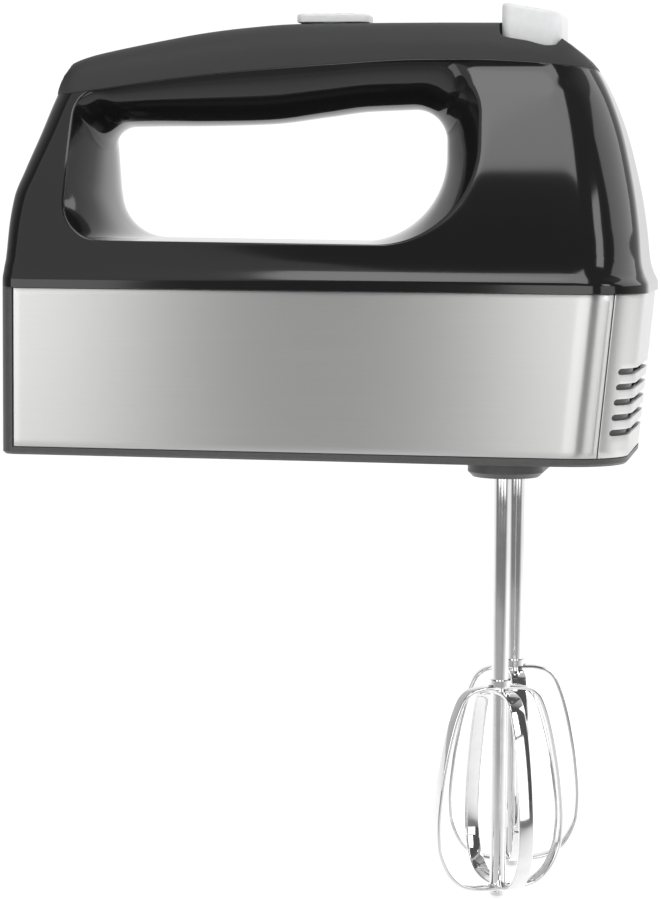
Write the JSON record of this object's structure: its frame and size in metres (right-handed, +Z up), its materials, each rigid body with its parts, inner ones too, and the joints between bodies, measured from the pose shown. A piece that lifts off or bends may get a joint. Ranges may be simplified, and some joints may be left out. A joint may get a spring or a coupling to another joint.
{
  "type": "hand mixer",
  "caption": "Electric hand mixer with an enclosed loop handle, brushed steel side panels, top slider and eject button, and a pair of pull-out wire beaters.",
  "frame": {"origin": "centre of the handle grip, on the mid-plane, 125 mm above the body's underside", "axes": "+X to the nose, where the beaters are; +Y to the user's left; +Z up. The beaters hang along -Z"},
  "size_m": [0.2076, 0.088, 0.2897],
  "materials": {
    "black_gloss": "high gloss moulded plastic",
    "dark_soft": "fine textured matt plastic",
    "dark_trim": "satin moulded plastic",
    "brushed_panel": "fine brushing along the body",
    "light_grey": "smooth satin plastic",
    "chrome_wire": "bright polished",
    "zinc_steel": "zinc plated",
    "frame_metal": "die cast",
    "bronze": "sintered",
    "lamination": "stacked steel sheets",
    "copper": "enamelled wire",
    "white_gear": "moulded acetal",
    "carbon": "pressed carbon",
    "board_green": "glass fibre board",
    "soft_rubber": "soft moulded rubber"
  },
  "bodies": {
    "housing": {"upper_housing": "black_gloss", "handle_cover": "dark_soft", "lower_housing": "dark_trim", "front_grille": "brushed_panel", "beater_collar": "dark_trim", "side_panel_right": "brushed_panel", "side_panel_left": "brushed_panel", "cord_gland": "soft_rubber", "gear_frame": "frame_metal", "gear_cover": "frame_metal", "gear_screw_right": "zinc_steel", "gear_screw_left": "zinc_steel", "housing_screw_1": "zinc_steel", "housing_screw_2": "zinc_steel", "housing_screw_3": "zinc_steel", "housing_screw_4": "zinc_steel", "rear_bracket": "frame_metal", "rear_bearing": "bronze", "front_bearing": "bronze", "nose_bearing": "bronze", "stator_core": "lamination", "field_coil_upper": "copper", "field_coil_lower": "copper", "brush_holder_right": "bronze", "brush_holder_left": "bronze", "carbon_brush_right": "carbon", "carbon_brush_left": "carbon", "spindle_bush_right": "bronze", "spindle_bush_left": "bronze", "ejector_guide": "dark_trim", "speed_board": "board_green", "speed_contacts": "copper"},
    "rotor": {"motor_shaft": "zinc_steel", "armature_winding": "copper", "armature_core": "lamination", "commutator": "copper", "cooling_fan": "white_gear", "motor_worm": "zinc_steel"},
    "eject": {"eject_button": "light_grey", "ejector_yoke": "white_gear", "eject_spring": "zinc_steel"},
    "slider": {"speed_slider": "light_grey", "speed_wiper": "bronze"},
    "spindle_right": {"worm_wheel_right": "white_gear", "drive_spindle_right": "zinc_steel", "spindle_clip_right": "zinc_steel"},
    "beater_right": {"beater_stem_right": "chrome_wire", "outer_loop_right": "chrome_wire", "inner_loop_right": "chrome_wire", "beater_ferrule_right": "chrome_wire", "tip_rivet_right": "chrome_wire"},
    "spindle_left": {"worm_wheel_left": "white_gear", "drive_spindle_left": "zinc_steel", "spindle_clip_left": "zinc_steel"},
    "beater_left": {"beater_stem_left": "chrome_wire", "outer_loop_left": "chrome_wire", "inner_loop_left": "chrome_wire", "beater_ferrule_left": "chrome_wire", "tip_rivet_left": "chrome_wire"}
  },
  "joints": [
    {"name": "motor_spin", "type": "hinge", "parent": "housing", "child": "rotor", "pos_m": [0, 0, -0.095], "axis": [1, 0, 0], "continuous": true},
    {"name": "spindle_right_spin", "type": "hinge", "parent": "housing", "child": "spindle_right", "pos_m": [0.0782, -0.021, -0.095], "axis": [0, 0, 1], "continuous": true},
    {"name": "spindle_left_spin", "type": "hinge", "parent": "housing", "child": "spindle_left", "pos_m": [0.0782, 0.021, -0.095], "axis": [0, 0, 1], "continuous": true},
    {"name": "beater_right_pull", "type": "slide", "parent": "spindle_right", "child": "beater_right", "axis": [0, 0, -1], "range_m": [0, 0.042]},
    {"name": "beater_left_pull", "type": "slide", "parent": "spindle_left", "child": "beater_left", "axis": [0, 0, -1], "range_m": [0, 0.042]},
    {"name": "eject_press", "type": "slide", "parent": "housing", "child": "eject", "axis": [0, 0, -1], "range_m": [0, 0.006], "stiffness_N_per_m": 800, "springref_m": -0.004, "deforming": ["eject_spring"]},
    {"name": "speed_slide", "type": "slide", "parent": "housing", "child": "slider", "axis": [1, 0, 0], "range_m": [0, 0.02]}
  ],
  "couplings": [
    {"joint": "spindle_right_spin", "follows": "motor_spin", "ratio": 0.083333},
    {"joint": "spindle_left_spin", "follows": "motor_spin", "ratio": -0.083333}
  ]
}
